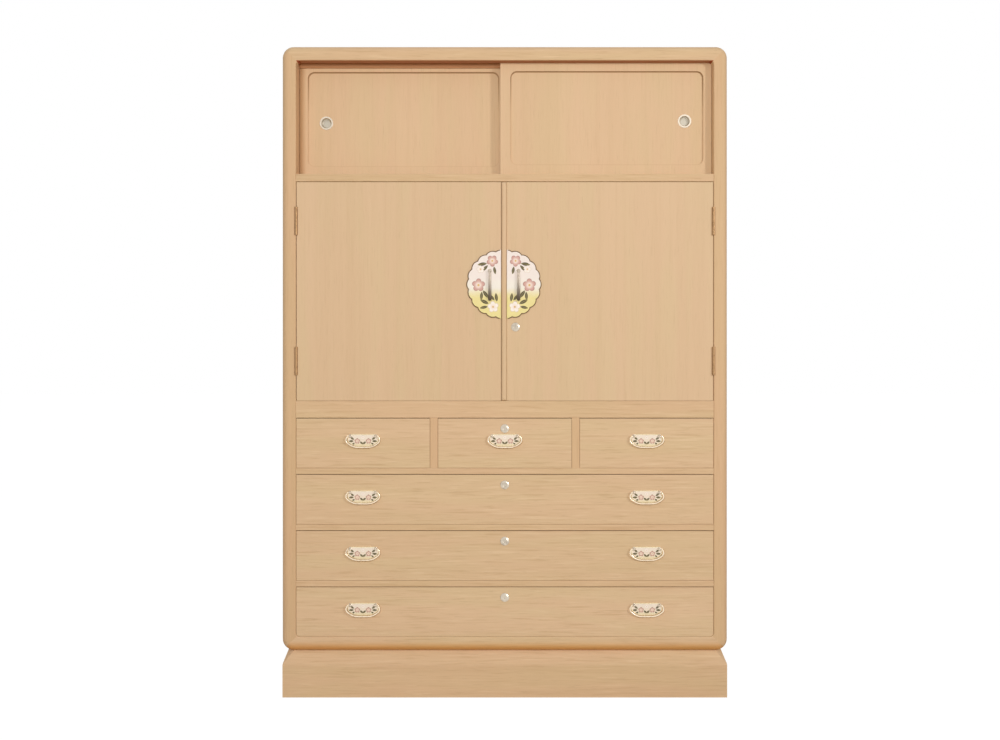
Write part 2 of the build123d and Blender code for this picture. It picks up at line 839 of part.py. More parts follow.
def handle_fixings(x, z):
    """The painted back plate, flat on top and bowed below, and the two posts that carry the bail."""
    plate_y = face_y - plate_thickness
    post_z = z + handle_pivot_z
    with BuildPart() as plate:
        with BuildSketch(face_plane(face_y)):
            with BuildLine():
                FilletPolyline(
                    *mirrored(handle_plate_corners, x, z),
                    radius=handle_plate_radii + handle_plate_radii[::-1],
                    close=True,
                )
            make_face()
        extrude(amount=plate_thickness)
        chamfer(plate.faces().sort_by(Axis.Y)[0].edges(), plate_rim)
        for post_x in (x - handle_post_x, x + handle_post_x):
            rod(post_x, post_z, plate_y, face_y, shank_radius, Mode.SUBTRACT)
    pieces = [plate.part]
    for post_x in (x - handle_post_x, x + handle_post_x):
        with BuildPart() as post:
            rod(post_x, post_z, handle_pivot_y - handle_post_radius, plate_y, handle_post_radius)
            fillet(post.edges().group_by(Axis.Y)[0], post_rounding * handle_post_radius)
            rod(post_x, post_z, plate_y - handle_collar_height, plate_y, handle_collar_radius)
            rod(post_x, post_z, plate_y, door_back_y, shank_radius)
            rod(post_x, post_z, door_back_y, door_back_y + nut_height, nut_radius)
            hole_radius = pintle_radius + pintle_clearance
            cross_rod(
                post_x, handle_pivot_y, post_z, hole_radius, 2 * handle_collar_radius, Mode.SUBTRACT
            )
        pieces.append(post.part)
    return pieces


def bail(x, z):
    """A bent wire that hangs round the plate, with balls at its ends and pintles turned into the posts."""
    with BuildPart() as wire:
        with BuildLine(face_plane(handle_pivot_y)) as path:
            FilletPolyline(*mirrored(bail_corners, x, z), radius=bail_radii + bail_radii[::-1])
        with BuildSketch(Plane(path.line @ 0, z_dir=path.line % 0)):
            Circle(bail_wire_radius)
        sweep(path=path.line)
        for side in (-1, 1):
            ball_x = x - side * bail_corners[0][0]
            tip_x = x + side * pintle_end_x
            with Locations((ball_x, handle_pivot_y, z + handle_pivot_z)):
                Sphere(bail_ball_radius)
            middle_x = (ball_x + tip_x) / 2
            cross_rod(middle_x, handle_pivot_y, z + handle_pivot_z, pintle_radius, abs(ball_x - tip_x))
    return wire.part


# Drawers: front, bottom, two sides and a back
def drawer_boards(middle_x, width, floor, lock_z, post_places):
    low_z = floor + drawer_foot_gap
    high_z = floor + drawer_opening - drawer_top_gap
    floor_top = low_z + drawer_bottom
    left_x = middle_x - width / 2
    right_x = middle_x + width / 2
    end_y = face_y + drawer_depth
    # the lowest drawer is rounded along both lower edges, to pass the rounded corners of its opening
    with BuildPart() as envelope:
        with BuildSketch(face_plane(end_y)) as outline:
            with Locations((middle_x, (low_z + high_z) / 2)):
                Rectangle(width, high_z - low_z)
            if floor == floor_z:
                fillet(outline.vertices().group_by(Axis.Y)[0], drawer_corner_radius)
        extrude(amount=drawer_depth)
    with BuildPart() as front:
        add(envelope.part)
        block((left_x, door_back_y, low_z), (right_x, end_y, high_z), Mode.SUBTRACT)
        fillet(front.faces().sort_by(Axis.Y)[0].edges(), face_arris)
        rebate_y = door_back_y - drawer_bottom_rebate
        block((left_x, rebate_y, low_z), (right_x, door_back_y, floor_top), Mode.SUBTRACT)
        if lock_z:
            rod(middle_x, lock_z, face_y, door_back_y, lock_sleeve_radius, Mode.SUBTRACT)
        for post_x, post_z in post_places:
            rod(post_x, post_z, face_y, door_back_y, shank_radius, Mode.SUBTRACT)
    corners = [
        ((left_x, rebate_y, low_z), (right_x, door_back_y, floor_top)),
        ((left_x, door_back_y, low_z), (right_x, end_y, floor_top)),
        ((left_x, door_back_y, floor_top), (left_x + drawer_wall, end_y, high_z)),
        ((right_x - drawer_wall, door_back_y, floor_top), (right_x, end_y, high_z)),
        ((left_x + drawer_wall, end_y - drawer_wall, floor_top), (right_x - drawer_wall, end_y, high_z)),
    ]
    return [front.part] + [board_within(envelope.part, low, high) for low, high in corners]


def drawer(name, middle_x, opening_width, floor, handle_places, has_lock):
    """One drawer with its handles, given as {word for the bail's name: x}, and its lock if it has one."""
    lock_z = floor + drawer_opening - drawer_lock_drop if has_lock else None
    handle_z = floor + drawer_opening / 2 + handle_rise
    post_places = [
        (x + side * handle_post_x, handle_z + handle_pivot_z)
        for x in handle_places.values()
        for side in (-1, 1)
    ]
    width = opening_width - 2 * drawer_side_gap
    save_group(drawer_boards(middle_x, width, floor, lock_z, post_places), name)
    fittings = []
    for word, x in handle_places.items():
        fittings += handle_fixings(x, handle_z)
        save(bail(x, handle_z), f"{name}_{word}")
    if has_lock:
        fittings.append(lock_case(middle_x, lock_z))
        save(lock_plug(middle_x, lock_z, 0, drawer_cam_reach), f"{name}_lock_plug")
    save_group(fittings, f"{name}_fittings")


wide_handles = {"left_bail": -handle_x, "right_bail": handle_x}
for name, floor in zip(("lower_drawer", "middle_drawer", "upper_drawer"), row_floors):
    drawer(name, 0, inner_width, floor, wide_handles, True)
for place, word in ((-1, "left"), (0, "centre"), (1, "right")):
    middle_x = place * (small_opening + partition_thickness)
    drawer(f"small_drawer_{word}", middle_x, small_opening, row_floors[-1], {"bail": middle_x}, place == 0)

# Kimono trays on runners behind the hinged doors, each with a scooped front
tray_half = inner_half - tray_side_gap
tray_front_y = case_front + tray_setback
tray_wall_y = tray_front_y + tray_front_thickness
tray_end_y = tray_front_y + tray_depth
scoop_radius = ((tray_scoop_width / 2) ** 2 + tray_scoop_depth**2) / (2 * tray_scoop_depth)
runners = []
for i in range(tray_count):
    runner_z = door_floor_z + door_stop + runner_lift + tray_pitch * i
    runner_top = runner_z + runner_height
    for side in (-1, 1):
        low = (side * (inner_half - runner_width), tray_front_y, runner_z)
        runners.append(board(low, (side * inner_half, tray_end_y, runner_top)))
    tray_z = runner_top + runner_gap
    floor_top = tray_z + tray_floor
    high_z = tray_z + tray_height
    with BuildPart() as tray_front:
        with BuildSketch(face_plane(tray_wall_y)):
            with Locations((0, tray_z + tray_front_height / 2)):
                Rectangle(2 * tray_half, tray_front_height)
            with Locations((0, tray_z + tray_front_height - tray_scoop_depth + scoop_radius)):
                Circle(scoop_radius, mode=Mode.SUBTRACT)
        extrude(amount=tray_front_thickness)
    boards = [
        tray_front.part,
        board((-tray_half, tray_wall_y, tray_z), (tray_half, tray_end_y, floor_top)),
        board(
            (-tray_half + tray_wall, tray_end_y - tray_wall, floor_top),
            (tray_half - tray_wall, tray_end_y, high_z),
        ),
    ]
    for side in (-1, 1):
        wall_low = (side * (tray_half - tray_wall), tray_wall_y, floor_top)
        boards.append(board(wall_low, (side * tray_half, tray_end_y, high_z)))
    save_group(boards, f"kimono_tray_{i + 1}")
save_group(runners, "tray_runners")
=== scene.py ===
import json
import math

import bmesh
import bpy
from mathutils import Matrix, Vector

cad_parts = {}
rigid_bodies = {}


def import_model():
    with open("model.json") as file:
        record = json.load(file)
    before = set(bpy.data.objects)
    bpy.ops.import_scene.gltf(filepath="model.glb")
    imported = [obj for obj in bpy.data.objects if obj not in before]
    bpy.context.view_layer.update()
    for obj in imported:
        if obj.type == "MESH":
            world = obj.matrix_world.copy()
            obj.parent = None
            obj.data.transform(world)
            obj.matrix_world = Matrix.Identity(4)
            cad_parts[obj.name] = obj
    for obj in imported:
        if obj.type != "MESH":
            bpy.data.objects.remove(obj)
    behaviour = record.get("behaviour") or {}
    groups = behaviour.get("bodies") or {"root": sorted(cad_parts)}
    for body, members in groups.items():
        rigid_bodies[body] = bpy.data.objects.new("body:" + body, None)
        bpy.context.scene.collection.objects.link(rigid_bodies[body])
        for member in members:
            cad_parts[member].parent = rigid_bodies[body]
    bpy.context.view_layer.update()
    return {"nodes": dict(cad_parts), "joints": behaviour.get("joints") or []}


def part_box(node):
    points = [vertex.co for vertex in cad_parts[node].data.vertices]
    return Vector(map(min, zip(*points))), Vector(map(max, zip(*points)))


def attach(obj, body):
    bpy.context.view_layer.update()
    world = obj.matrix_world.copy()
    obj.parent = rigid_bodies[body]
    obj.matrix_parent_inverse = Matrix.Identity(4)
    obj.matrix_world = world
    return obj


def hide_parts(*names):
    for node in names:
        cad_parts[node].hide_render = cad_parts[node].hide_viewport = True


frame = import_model()
nodes = frame["nodes"]
print("stage: frame loaded")


class Flow:  # a socket in a shader tree: sums on it add Math nodes
    def __init__(self, tree, socket=None):
        self.tree = tree
        self.socket = socket

    def node(self, kind, inputs=None, output=0, **settings):
        made = self.tree.nodes.new(kind)
        for name, value in settings.items():
            setattr(made, name, value)
        for name, value in (inputs or {}).items():
            if isinstance(value, Flow):
                self.tree.links.new(value.socket, made.inputs[name])
            else:
                made.inputs[name].default_value = value
        return Flow(self.tree, made.outputs[output] if made.outputs else None)

    def maths(self, operation, other=0.0):
        return self.node("ShaderNodeMath", {0: self, 1: other}, operation=operation)

    def __add__(self, other):
        return self.maths("ADD", other)

    __radd__ = __add__

    def __sub__(self, other):
        return self.maths("SUBTRACT", other)

    def __rsub__(self, other):
        return self.node("ShaderNodeMath", {0: other, 1: self}, operation="SUBTRACT")

    def __mul__(self, other):
        return self.maths("MULTIPLY", other)

    def __truediv__(self, other):
        return self.maths("DIVIDE", other)

    def __pow__(self, other):
        return self.maths("POWER", other)

    def __abs__(self):
        return self.maths("ABSOLUTE")

    def most(self, other):
        return self.maths("MAXIMUM", other)

    def rise(self, low, high):  # 0 below low, 1 above high, smooth between them
        sockets = {"Value": self, "From Min": low, "From Max": high}
        return self.node("ShaderNodeMapRange", sockets, interpolation_type="SMOOTHSTEP")

    def tint(self, under, over):  # the first colour where self is 0, the second where it is 1
        return mixColours(self, self, under, over)


def mixColours(flow, share, under, over, blend="MIX"):
    sockets = {"Factor": share, 6: under, 7: over}  # 6 and 7 are the node's sockets for colours
    return flow.node("ShaderNodeMix", sockets, output=2, data_type="RGBA", blend_type=blend)


def paint(red, green, blue):  # a colour on a screen's 0 to 255 scale, as light
    return tuple(((c / 255 + 0.055) / 1.055) ** 2.4 for c in (red, green, blue)) + (1,)


def scaled(colour, *shares):  # one share for all three channels, or one each
    shares = shares * 3 if len(shares) == 1 else shares
    return tuple(c * share for c, share in zip(colour, shares)) + (1,)


def newMaterial(name):
    made = bpy.data.materials.new(name)
    made.use_nodes = True
    made.node_tree.nodes.clear()
    return made, Flow(made.node_tree)


def closeMaterial(flow, sockets, height, depth, strength):
    bump = {"Height": height, "Distance": depth, "Strength": strength}
    sockets["Normal"] = flow.node("ShaderNodeBump", bump)
    shader = flow.node("ShaderNodeBsdfPrincipled", sockets)
    flow.node("ShaderNodeOutputMaterial", {"Surface": shader})


def softStep(value, edge, width):
    return value.rise(edge - width, edge + width)


def axes(flow, place):
    return [flow.node("ShaderNodeSeparateXYZ", {0: place}, output=i) for i in range(3)]


# paulownia, with its grain along one axis of each board
grain = {
    # waves per metre across and along the grain, detail, seed, and where the pattern sets in and is full
    "bands": {"waves": (9.0, 0.35), "detail": 2.0, "seed": 0.0, "span": (0.30, 0.70)},
    "rings": {"waves": (62.0, 0.9), "detail": 2.0, "seed": 3.1, "span": (0.42, 0.72)},
    "streaks": {"waves": (220.0, 11.0), "detail": 3.0, "seed": 7.7, "span": (0.52, 0.74)},
    "pores": {"waves": (620.0, 26.0), "detail": 1.0, "seed": 11.3, "span": (0.62, 0.74)},
    "hues": {"waves": (21.0, 2.4), "detail": 1.0, "seed": 17.9, "span": (0.32, 0.66)},
    "glints": (0.28, 0.46),  # pale where the streaks' pattern is lowest
    "grooves": (0.45, 0.80), "grooveDepth": 0.7, "pits": (0.60, 0.72), "pitDepth": 0.3,
    "rosy": (1.09, 0.95, 0.98), "honey": (0.98, 1.03, 0.90),  # shares of the wood's colour, by channel
    "deep": (0.80, 0.74, 0.66), "pale": (1.10, 1.12, 1.15), "pore": 0.8,
    "wander": 0.35, "relief": 0.00022, "reliefStrength": 0.55, "rough": 0.50, "roughHigh": 0.14,
    "shift": (1.0, 1.7, 0.6),  # how far a seed moves the pattern, by axis
    "joint": 0.0002, "sideSeed": 20.0,  # where the grain turns from one board of a piece to the next
}


def grainNoise(flow, place, axis, layer, seed):
    across, along = layer["waves"]
    scale = [across] * 3
    scale["XYZ".index(axis)] = along
    shift = [(seed + layer["seed"]) * share for share in grain["shift"]]
    moved = flow.node("ShaderNodeMapping", {"Vector": place, "Location": shift, "Scale": scale})
    sockets = {"Vector": moved, "Scale": 1.0, "Detail": layer["detail"], "Distortion": grain["wander"]}
    return flow.node("ShaderNodeTexNoise", sockets)


def grainColour(flow, place, axis, wood, seed):
    # the colour of the wood and the height of its streaks, with the grain along one axis
    layers = ("bands", "rings", "streaks", "pores", "hues")
    noise = {layer: grainNoise(flow, place, axis, grain[layer], seed) for layer in layers}
    full = {layer: noise[layer].rise(*grain[layer]["span"]) for layer in layers}
    plain = paint(*wood["colour"])
    deep = scaled(plain, *grain["deep"])
    hue = full["hues"].tint(scaled(plain, *grain["honey"]), scaled(plain, *grain["rosy"]))
    colour = mixColours(flow, wood["hues"], plain, hue)
    colour = (full["bands"] * wood["bands"]).tint(colour, deep)
    colour = (full["rings"] * wood["rings"]).tint(colour, deep)
    glints = (1 - noise["streaks"].rise(*grain["glints"])) * wood["glints"]
    colour = glints.tint(colour, scaled(plain, *grain["pale"]))
    colour = (full["streaks"] * wood["streaks"]).tint(colour, deep)
    colour = (full["pores"] * wood["pores"]).tint(colour, scaled(deep, grain["pore"]))
    grooves = noise["streaks"].rise(*grain["grooves"]) * grain["grooveDepth"]
    pits = noise["pores"].rise(*grain["pits"]) * grain["pitDepth"]
    return colour, 1 - grooves - pits


def closeWood(flow, wood, colour, height):
    sockets = {
        "Base Color": colour,
        "Roughness": grain["rough"] + height * grain["roughHigh"],
        "Specular IOR Level": wood["gloss"],
    }
    closeMaterial(flow, sockets, height, grain["relief"], grain["reliefStrength"])


# the sliding doors' sunk fields: lower and upper edges, the stiles beside them and the corners' radius
slider = {
    "fieldLow": 1.278,
    "fieldHigh": {"left_sliding_door": 1.5085, "right_sliding_door": 1.5045},
    "outer": 0.0200, "inner": 0.0245, "radius": 0.016,
    # the painted shade line's width (a painted shadow inside the sunk field's edge), where its edge starts
    # and ends as shares of the width, how dark it is at the top and the foot, and each channel's share of the
    # wood's colour
    "line": 0.0024, "lineSpan": (0.35, 0.75), "shadeLineTop": 0.75, "shadeLineFoot": 0.10,
    "shadeLineShares": (0.42, 0.30, 0.20),
    # painted shadow of the case's side: the rear door is darker close to its outer edge; distances from its
    # edge and each channel's share
    "rear": "left_sliding_door", "sideShadow": (0.0030, 0.0185), "sideShadowShares": (0.70, 0.60, 0.50),
}


def fieldShadeLine(flow, place, low, high):
    # painted shade: 1 on a thin line inside the edge of a sliding door's sunk field, strongest at its top,
    # under the field's upper edge
    middleX, middleZ = (low.x + high.x) / 2, (low.z + high.z) / 2
    radius, line = slider["radius"], slider["line"]
    x, _, z = axes(flow, place)
    outX = abs(x - middleX) - ((high.x - low.x) / 2 - radius)
    outZ = abs(z - middleZ) - ((high.z - low.z) / 2 - radius)
    corner = (outX.most(0.0) ** 2 + outZ.most(0.0) ** 2) ** 0.5
    edge = corner + outX.most(outZ).maths("MINIMUM", 0.0) - radius
    sharp, soft = slider["lineSpan"]
    shadeNear = 1 - abs(edge + line / 2).rise(sharp * line, soft * line)
    return shadeNear * (z.rise(middleZ, high.z) * (slider["shadeLineTop"] - slider["shadeLineFoot"]) + slider["shadeLineFoot"])


def sliderMaterial(node, wood, leftStile, rightStile):
    made, flow = newMaterial(node + "Wood")
    place = flow.node("ShaderNodeTexCoord", output=3)
    colour, height = grainColour(flow, place, "Z", wood, wood["seed"])
    low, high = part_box(node)
    fieldLow = Vector((low.x + leftStile, 0, slider["fieldLow"]))
    fieldHigh = Vector((high.x - rightStile, 0, slider["fieldHigh"][node]))
    line = fieldShadeLine(flow, place, fieldLow, fieldHigh)
    if node == slider["rear"]:
        # painted shadow of the case's side on the rear door's outer stile
        sideShadow = 1 - (axes(flow, place)[0] - low.x).rise(*slider["sideShadow"])
        colour = mixColours(flow, sideShadow, colour, (*slider["sideShadowShares"], 1), "MULTIPLY")
    # painted shade: the thin line along the sunk field's edge darkens the wood
    closeWood(flow, wood, line.tint(colour, scaled(paint(*wood["colour"]), *slider["shadeLineShares"])), height)
    return made


def woodMaterial(name, wood, axis, sides=None, paintedSoffitShade=None):
    # sides is the span of depth, between a drawer's front and its back board, where the grain runs along Y
    made, flow = newMaterial(name)
    place = flow.node("ShaderNodeTexCoord", output=3)
    colour, height = grainColour(flow, place, axis, wood, wood["seed"])
    if sides:
        deep = axes(flow, place)[1]
        middle = softStep(deep, sides[0], grain["joint"]) * (1 - softStep(deep, sides[1], grain["joint"]))
        sideColour, sideHeight = grainColour(flow, place, "Y", wood, wood["seed"] + grain["sideSeed"])
        colour = middle.tint(colour, sideColour)
        height = height + middle * (sideHeight - height)
    # painted shade under the case's nose
    if paintedSoffitShade:
        _, deep, up = axes(flow, place)
        shadeNear = (1 - up.rise(*paintedSoffitShade["height"])) * (1 - deep.rise(*paintedSoffitShade["depth"]))
        colour = mixColours(flow, shadeNear, colour, (*paintedSoffitShade["shares"], 1), "MULTIPLY")
    closeWood(flow, wood, colour, height)
    return made


woods = {
    "caseWood": {"colour": (215, 181, 142), "hues": 0.2, "bands": 0.20, "rings": 0.14, "streaks": 0.30,
                 "glints": 0.22, "pores": 0.20, "gloss": 0.30, "seed": 1.0},
    "railWood": {"colour": (218, 187, 149), "hues": 0.25, "bands": 0.22, "rings": 0.14, "streaks": 0.56,
                 "glints": 0.48, "pores": 0.26, "gloss": 0.30, "seed": 3.0},
    "doorWood": {"colour": (219, 190, 154), "hues": 0.2, "bands": 0.14, "rings": 0.10, "streaks": 0.16,
                 "glints": 0.10, "pores": 0.18, "gloss": 0.30, "seed": 5.0},
    "sliderWood": {"colour": (221, 190, 153), "hues": 0.2, "bands": 0.14, "rings": 0.10, "streaks": 0.16,
                   "glints": 0.10, "pores": 0.18, "gloss": 0.30, "seed": 7.0},
    "frontWood": {"colour": (220, 191, 154), "hues": 0.25, "bands": 0.20, "rings": 0.12, "streaks": 0.68,
                  "glints": 0.56, "pores": 0.30, "gloss": 0.30, "seed": 9.0},
    "innerWood": {"colour": (205, 172, 134), "hues": 0.5, "bands": 0.30, "rings": 0.24, "streaks": 0.26,
                  "glints": 0.16, "pores": 0.22, "gloss": 0.20, "seed": 13.0},
    # painted shade: the track's wood is darker and redder, standing for the shade on its ridge under the top
    # board
    "trackWood": {"colour": (200, 150, 110), "hues": 0.2, "bands": 0.30, "rings": 0.24, "streaks": 0.30,
                  "glints": 0.16, "pores": 0.22, "gloss": 0.20, "seed": 15.0},
}

dressing = {
    ("railWood", "X"): ["plinth_front", "drawer_shelves", "middle_shelf", "upper_shelf"],
    ("caseWood", "Y"): ["plinth_sides"],
    ("caseWood", "Z"): ["left_side", "right_side", "drawer_partitions"],
    ("doorWood", "Z"): ["left_door", "right_door", "meeting_bead"],
    ("trackWood", "X"): ["upper_track"],
    ("innerWood", "X"): ["plinth_back"],
    ("innerWood", "Y"): ["tray_runners"],
    ("innerWood", "Z"): ["back_panel"],
}


def dress(name, material):
    nodes[name].data.materials.clear()
    nodes[name].data.materials.append(material)


for (wood, axis), names in dressing.items():
    material = woodMaterial(wood + axis, woods[wood], axis)
    for name in names:
        dress(name, material)
# painted shade: the undersides of the case's nose are darker, up to a height and a depth; measures from the
# case's top front edge or bottom front edge, and each channel's share
paintedSoffitShades = {
    "top_board": {"height": (-0.0364, -0.0352), "depth": (0.050, 0.090), "shares": (0.50, 0.145, 0.06)},
    "bottom_board": {"height": (0.0060, 0.0265), "depth": (0.020, 0.045), "shares": (0.95, 0.70, 0.39)},
}
for name, paintedSoffitShade in paintedSoffitShades.items():
    low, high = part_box(name)
    base = high.z if name == "top_board" else low.z
    span = {"height": [base + z for z in paintedSoffitShade["height"]], "depth": [low.y + y for y in paintedSoffitShade["depth"]],
            "shares": paintedSoffitShade["shares"]}
    dress(name, woodMaterial(name + "Wood", woods["railWood"], "X", paintedSoffitShade=span))
for name, stiles in (("left_sliding_door", ("outer", "inner")), ("right_sliding_door", ("inner", "outer"))):
    left, right = (slider[stile] for stile in stiles)
    dress(name, sliderMaterial(name, woods["sliderWood"], left, right))
# drawers and trays: the drawers' fronts are as thick as the hinged doors, and these are the other boards
boards = {"drawerBack": 0.011, "trayFront": 0.012, "trayBack": 0.009}
drawerSides = (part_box("left_door")[1].y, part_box("lower_drawer")[1].y - boards["drawerBack"])
frontMaterial = woodMaterial("frontWoodX", woods["frontWood"], "X", drawerSides)
drawerNames = ["lower_drawer", "middle_drawer", "upper_drawer"]
drawerNames += ["small_drawer_left", "small_drawer_centre", "small_drawer_right"]
for name in drawerNames:
    dress(name, frontMaterial)
trayLow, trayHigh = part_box("kimono_tray_1")
traySides = (trayLow.y + boards["trayFront"], trayHigh.y - boards["trayBack"])
trayMaterial = woodMaterial("trayWoodX", woods["innerWood"], "X", traySides)
for name in nodes:
    if name.startswith("kimono_tray_"):
        dress(name, trayMaterial)
print("stage: wood")


metals = {
    # colours as on a screen, how rough the metal is, and how much rougher where it is worn; a cup's floor has
    # painted shade, a darker colour which sets in between two distances behind the ring; a pull's foot has
    # painted shade, a share of "worn"
    "silver": {"colour": (214, 202, 184), "worn": (140, 126, 108), "rough": 0.30, "scratch": 0.12},
    "cup": {"colour": (238, 224, 204), "worn": (206, 190, 168), "floor": (206, 196, 178),
            "wall": (0.0005, 0.0040), "rough": 0.34, "scratch": 0.12},
    "pull": {"colour": (212, 196, 178), "worn": (150, 132, 112), "foot": 0.35,
             "rough": 0.26, "scratch": 0.10},
    "bronze": {"colour": (128, 104, 80), "worn": (74, 58, 44), "rough": 0.38, "scratch": 0.12},
    "hinge": {"colour": (178, 142, 104), "worn": (118, 88, 60), "rough": 0.42, "scratch": 0.12},
    "gilt": {"colour": (240, 226, 192), "worn": (196, 170, 120), "rough": 0.24, "scratch": 0.12},
    "bail": {"colour": (248, 230, 204), "worn": (184, 156, 124), "rough": 0.20, "scratch": 0.10},
}
tarnishing = {  # clouds and scratches per metre, where the clouds set in and are full, and their share
    "clouds": 190.0, "scratches": 2400.0, "span": (0.45, 0.80), "share": 0.5, "roughness": 0.06,
    "relief": 0.00002, "strength": 0.3,
}


def metalMaterial(name, metal, shade=None):
    # shade is painted shade: it turns the metal to a darker colour along an axis, or against it
    made, flow = newMaterial(name)
    place = flow.node("ShaderNodeTexCoord", output=3)
    cloud = flow.node("ShaderNodeTexNoise", {"Vector": place, "Scale": tarnishing["clouds"], "Detail": 3.0})
    fine = flow.node("ShaderNodeTexNoise", {"Vector": place, "Scale": tarnishing["scratches"], "Detail": 1.0})
    tarnish = cloud.rise(*tarnishing["span"])
    colour = (tarnish * tarnishing["share"]).tint(paint(*metal["colour"]), paint(*metal["worn"]))
    if shade:
        share = axes(flow, place)["XYZ".index(shade["axis"])].rise(*shade["span"])
        colour = (1 - share if shade["against"] else share).tint(colour, shade["colour"])
    sockets = {
        "Base Color": colour,
        "Roughness": metal["rough"] + tarnish * metal["scratch"] + fine * tarnishing["roughness"],
        "Metallic": 1.0,
    }
    closeMaterial(flow, sockets, fine, tarnishing["relief"], tarnishing["strength"])
    return made


silver = metalMaterial("silver", metals["silver"])
bronze = metalMaterial("bronze", metals["bronze"])
hingeMetal = metalMaterial("hingeMetal", metals["hinge"])
gilt = metalMaterial("gilt", metals["gilt"])
bailMetal = metalMaterial("bailMetal", metals["bail"])
pullFoot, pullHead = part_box("left_door_pull")
pullEye = 0.008  # the height of the eye at the pull's head
# painted shade: the pull darkens from its eye down to its foot
pullPaintedShade = {"axis": "Z", "span": (pullFoot.z, pullHead.z - pullEye), "against": True,
             "colour": scaled(paint(*metals["pull"]["worn"]), metals["pull"]["foot"])}
pullMetal = metalMaterial("pullMetal", metals["pull"], pullPaintedShade)
for name in nodes:
    if name.endswith("_pull"):
        dress(name, pullMetal)
    elif name.endswith("_bail"):
        dress(name, bailMetal)
    elif name.endswith("_lock_plug"):
        dress(name, silver)
    elif name.endswith("_finger_cup"):
        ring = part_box(name)[0].y
        # painted shade: the cup's floor is darker than its ring
        floorShade = {"axis": "Y", "span": [ring + deep for deep in metals["cup"]["wall"]], "against": False,
                      "colour": paint(*metals["cup"]["floor"])}
        dress(name, metalMaterial(name + "Metal", metals["cup"], floorShade))
    elif name.endswith("_hinge_leaves"):
        dress(name, hingeMetal)
print("stage: metals")


# enamel, painted with plum blossoms and slender leaves; its map gives metres from the plate's middle
enamel = {  # motes of gold, fewer towards the top, and how rough and raised the paint is
    "mote": (0.10, 0.16), "fewerAbove": 0.75, "goldShare": 0.6, "goldRelief": 0.3, "rough": 0.24,
    "roughPaint": 0.10, "relief": 0.00012, "strength": 0.6,
}
blossom = {  # distances as shares of its radius
    "petals": 5, "waist": 0.64, "roundness": 0.7, "edge": (0.95, 1.03), "rim": (0.78, 0.97), "rimShare": 0.7,
    "heart": (0.15, 0.75), "stamens": 0.17, "stamensSoft": 0.05, "stamensShare": 0.9,
}
leaf = {"edge": 0.16, "vein": (0.03, 0.10), "veinShare": 0.55, "relief": 0.6}  # vein in shares of its width


def patch(flow, place, spot, width):
    # the place as seen from a spot on the plate, turned with it, in units of its length and width
    sockets = {"Vector": place, "Location": (spot["x"], spot["z"], 0), "Rotation": (0, 0, spot["turn"]),
               "Scale": (spot["size"], width, 1)}
    return flow.node("ShaderNodeMapping", sockets, vector_type="TEXTURE")


def blossomOn(flow, colour, place, spot, paints):
    local = patch(flow, place, spot, spot["size"])
    across, up, _ = axes(flow, local)
    reach = flow.node("ShaderNodeVectorMath", {0: local}, output=1, operation="LENGTH")
    lobes = abs((up.maths("ARCTAN2", across) * (blossom["petals"] / 2)).maths("COSINE"))
    share = reach / (blossom["waist"] + lobes ** blossom["roundness"] * (1 - blossom["waist"]))
    petal = 1 - share.rise(*blossom["edge"])
    shade = reach.rise(*blossom["heart"]).tint(paint(*paints["heart"]), paint(*spot["paint"]))
    shade = (share.rise(*blossom["rim"]) * blossom["rimShare"]).tint(shade, paint(*spot["edge"]))
    stamens = 1 - softStep(reach, blossom["stamens"], blossom["stamensSoft"])
    shade = (stamens * blossom["stamensShare"]).tint(shade, paint(*paints["stamen"]))
    return petal.tint(colour, shade), petal


def leafOn(flow, colour, place, spot, paints):
    local = patch(flow, place, spot, spot["size"] * spot["slim"])
    along, across, _ = axes(flow, local)
    inside = along * (1 - along) * 4 - abs(across) * 2
    blade = inside.rise(0.0, leaf["edge"])
    vein = 1 - abs(across).rise(*leaf["vein"])
    shade = along.tint(paint(*paints["leafDark"]), paint(*paints["leafLight"]))
    shade = (vein * leaf["veinShare"]).tint(shade, paint(*paints["vein"]))
    return blade.tint(colour, shade), blade


def enamelMaterial(name, art):
    made, flow = newMaterial(name)
    place = flow.node("ShaderNodeUVMap", uv_map="plateMap")
    across, up, _ = axes(flow, place)
    if art["mirrored"]:
        place = flow.node("ShaderNodeCombineXYZ", {"X": abs(across), "Y": up})
    cloud = flow.node("ShaderNodeTexNoise", {"Vector": place, "Scale": art["cloud"], "Detail": 3.0})
    low, high = art["fade"]
    ground = (up + (cloud - 0.5) * art["drift"]).rise(low, high)
    colour = ground.tint(paint(*art["foot"]), paint(*art["middle"]))
    blush = (up + (cloud - 0.5) * art["drift"] * 2).rise(high, high + art["drift"] * 2)
    colour = blush.tint(colour, paint(*art["head"]))
    motes = flow.node("ShaderNodeTexVoronoi", {"Vector": place, "Scale": art["motes"]})
    gold = (1 - motes.rise(*enamel["mote"])) * (1 - ground * enamel["fewerAbove"]) * enamel["goldShare"]
    colour = gold.tint(colour, paint(*art["paints"]["gold"]))
    height = gold * enamel["goldRelief"]
    for spot in art["leaves"]:
        colour, mask = leafOn(flow, colour, place, spot, art["paints"])
        height = height.most(mask * leaf["relief"])
    for spot in art["blossoms"]:
        colour, mask = blossomOn(flow, colour, place, spot, art["paints"])
        height = height.most(mask)
    sockets = {
        "Base Color": colour,
        "Roughness": enamel["rough"] + (cloud + height) * enamel["roughPaint"],
        "Coat Weight": 0.4,
        "Coat Roughness": 0.10,
    }
    closeMaterial(flow, sockets, height, enamel["relief"], enamel["strength"])
    return made


